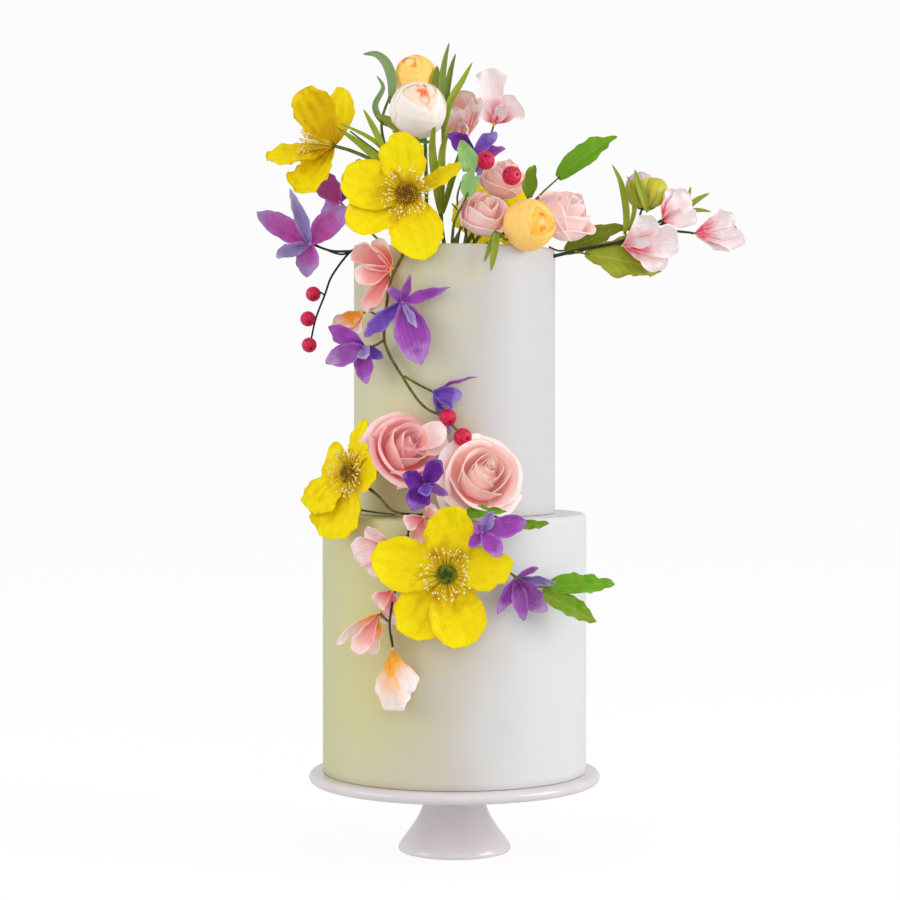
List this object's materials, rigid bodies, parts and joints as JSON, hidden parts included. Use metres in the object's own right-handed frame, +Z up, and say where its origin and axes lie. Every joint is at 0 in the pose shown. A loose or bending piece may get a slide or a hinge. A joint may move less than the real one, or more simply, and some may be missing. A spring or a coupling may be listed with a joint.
{
  "type": "wedding cake",
  "caption": "Tall two-tier round iced cake on a white pedestal stand, with a cascade of yellow, pink and purple sugar flowers, berries and leaves.",
  "frame": {"origin": "middle of the flat underside of the stand's foot, on the table", "axes": "+Z up through the middle of the cake, -Y towards the front with the flowers, +X to the right seen from the front"},
  "size_m": [0.378, 0.242, 0.63],
  "materials": {
    "icing": "smooth matte icing, white with a soft green and peach wash on the left",
    "ceramic": "white glaze, faintly pink",
    "yellow_petal": "matte dusted sugar paste",
    "purple_petal": "matte dusted sugar paste",
    "rose_petal": "satin sugar paste",
    "white_petal": "satin sugar paste",
    "peach_petal": "satin sugar paste",
    "pink_petal": "satin sugar paste, deeper pink at the throat",
    "berry": "glazed sugar paste",
    "bud": "matte dusted sugar paste, striped",
    "leaf": "satin dusted sugar paste",
    "twig": "taped florist's wire"
  },
  "bodies": {
    "root": {"berry_centre_low": "berry", "berry_centre_upper": "berry", "berry_left_low": "berry", "berry_left_mid": "berry", "berry_left_upper": "berry", "berry_top_left": "berry", "berry_top_right": "berry", "blades_left": "leaf", "blades_right": "leaf", "branch_centre": "twig", "branch_right": "twig", "bud_striped": "bud", "globe_peach": "peach_petal", "globe_peach_top": "peach_petal", "globe_white": "white_petal", "grass_top": "leaf", "leaf_curled": "leaf", "leaf_right_high": "leaf", "leaf_right_low": "leaf", "leaf_right_mid": "leaf", "leaf_top_right": "leaf", "leaves_ledge": "leaf", "leaves_low": "leaf", "leaves_top_centre": "leaf", "pea_edge_low": "pink_petal", "pea_edge_pair": "pink_petal", "pea_low_bell": "pink_petal", "pea_low_left": "pink_petal", "pea_low_mid": "pink_petal", "pea_low_top": "pink_petal", "pea_low_trumpet": "pink_petal", "pea_right_lower": "pink_petal", "pea_right_trumpet": "pink_petal", "pea_right_upper": "pink_petal", "pea_top_centre": "pink_petal", "pea_top_right": "pink_petal", "purple_bell": "purple_petal", "purple_centre": "purple_petal", "purple_edge": "purple_petal", "purple_hanging": "purple_petal", "purple_ledge": "purple_petal", "purple_left_back": "purple_petal", "purple_left_front": "purple_petal", "purple_mid": "purple_petal", "purple_top": "purple_petal", "rose_behind": "rose_petal", "rose_bud_front": "rose_petal", "rose_left": "rose_petal", "rose_right": "rose_petal", "rose_top_right": "rose_petal", "stand": "ceramic", "stems_low": "twig", "tier_lower": "icing", "tier_upper": "icing", "twig_left": "twig", "yellow_low_front": "yellow_petal", "yellow_mid_left": "yellow_petal", "yellow_top_back": "yellow_petal", "yellow_top_front": "yellow_petal", "yellow_top_left": "yellow_petal"}
  },
  "joints": []
}
